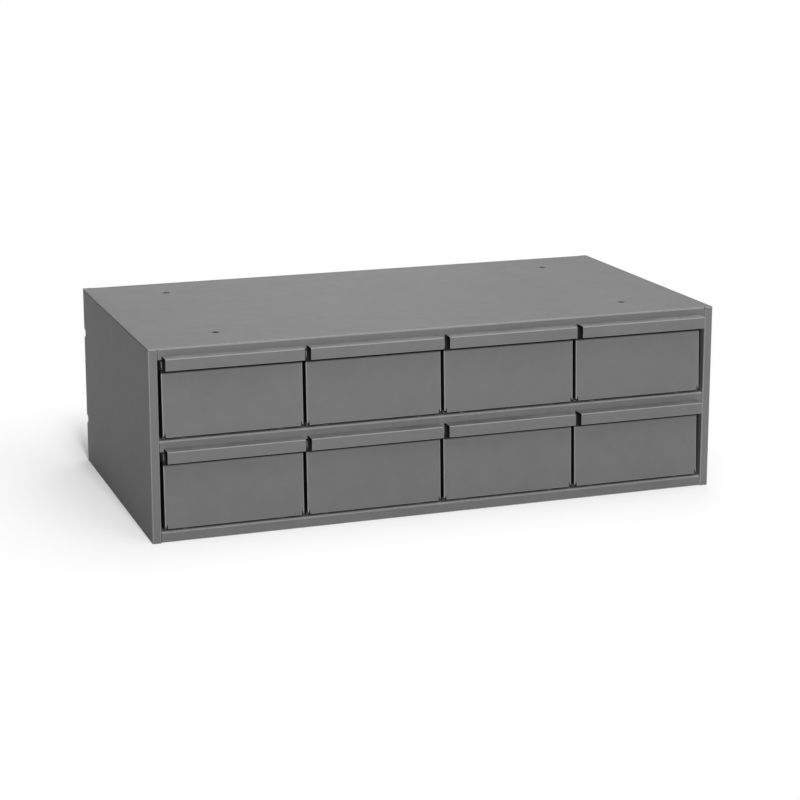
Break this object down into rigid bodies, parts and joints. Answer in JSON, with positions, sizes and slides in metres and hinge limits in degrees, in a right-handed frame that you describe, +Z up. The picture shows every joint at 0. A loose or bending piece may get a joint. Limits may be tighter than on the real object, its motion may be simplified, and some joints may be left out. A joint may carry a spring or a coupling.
{
  "type": "small parts cabinet",
  "caption": "Low, wide sheet steel cabinet with rows of sliding drawers for small parts, each pulled by a folded full-width hood, with bolt holes in its top and bottom.",
  "frame": {"origin": "on the ground, in the middle of the outline seen from above with the drawer pulls included", "axes": "+Z up, -Y out of the drawer fronts, +X to the right for someone who faces the drawers"},
  "size_m": [0.8572, 0.4718, 0.2762],
  "materials": {
    "case_paint": "semi-matte grey paint on sheet steel",
    "drawer_paint": "semi-matte grey paint on sheet steel"
  },
  "bodies": {
    "case": {"left_side": "case_paint", "right_side": "case_paint", "top_panel": "case_paint", "bottom_panel": "case_paint", "middle_shelf": "case_paint", "back_panel": "case_paint", "lower_left_guide": "case_paint", "lower_partition_1": "case_paint", "lower_partition_2": "case_paint", "lower_partition_3": "case_paint", "lower_right_guide": "case_paint", "upper_left_guide": "case_paint", "upper_partition_1": "case_paint", "upper_partition_2": "case_paint", "upper_partition_3": "case_paint", "upper_right_guide": "case_paint"},
    "lower_drawer_1": {"lower_drawer_1_front": "drawer_paint", "lower_drawer_1_tray": "drawer_paint", "lower_drawer_1_back": "drawer_paint"},
    "lower_drawer_2": {"lower_drawer_2_front": "drawer_paint", "lower_drawer_2_tray": "drawer_paint", "lower_drawer_2_back": "drawer_paint"},
    "lower_drawer_3": {"lower_drawer_3_front": "drawer_paint", "lower_drawer_3_tray": "drawer_paint", "lower_drawer_3_back": "drawer_paint"},
    "lower_drawer_4": {"lower_drawer_4_front": "drawer_paint", "lower_drawer_4_tray": "drawer_paint", "lower_drawer_4_back": "drawer_paint"},
    "upper_drawer_1": {"upper_drawer_1_front": "drawer_paint", "upper_drawer_1_tray": "drawer_paint", "upper_drawer_1_back": "drawer_paint"},
    "upper_drawer_2": {"upper_drawer_2_front": "drawer_paint", "upper_drawer_2_tray": "drawer_paint", "upper_drawer_2_back": "drawer_paint"},
    "upper_drawer_3": {"upper_drawer_3_front": "drawer_paint", "upper_drawer_3_tray": "drawer_paint", "upper_drawer_3_back": "drawer_paint"},
    "upper_drawer_4": {"upper_drawer_4_front": "drawer_paint", "upper_drawer_4_tray": "drawer_paint", "upper_drawer_4_back": "drawer_paint"}
  },
  "joints": [
    {"name": "lower_drawer_1_slide", "type": "slide", "parent": "case", "child": "lower_drawer_1", "axis": [0, -1, 0], "range_m": [0, 0.397]},
    {"name": "lower_drawer_2_slide", "type": "slide", "parent": "case", "child": "lower_drawer_2", "axis": [0, -1, 0], "range_m": [0, 0.397]},
    {"name": "lower_drawer_3_slide", "type": "slide", "parent": "case", "child": "lower_drawer_3", "axis": [0, -1, 0], "range_m": [0, 0.397]},
    {"name": "lower_drawer_4_slide", "type": "slide", "parent": "case", "child": "lower_drawer_4", "axis": [0, -1, 0], "range_m": [0, 0.397]},
    {"name": "upper_drawer_1_slide", "type": "slide", "parent": "case", "child": "upper_drawer_1", "axis": [0, -1, 0], "range_m": [0, 0.397]},
    {"name": "upper_drawer_2_slide", "type": "slide", "parent": "case", "child": "upper_drawer_2", "axis": [0, -1, 0], "range_m": [0, 0.397]},
    {"name": "upper_drawer_3_slide", "type": "slide", "parent": "case", "child": "upper_drawer_3", "axis": [0, -1, 0], "range_m": [0, 0.397]},
    {"name": "upper_drawer_4_slide", "type": "slide", "parent": "case", "child": "upper_drawer_4", "axis": [0, -1, 0], "range_m": [0, 0.397]}
  ]
}
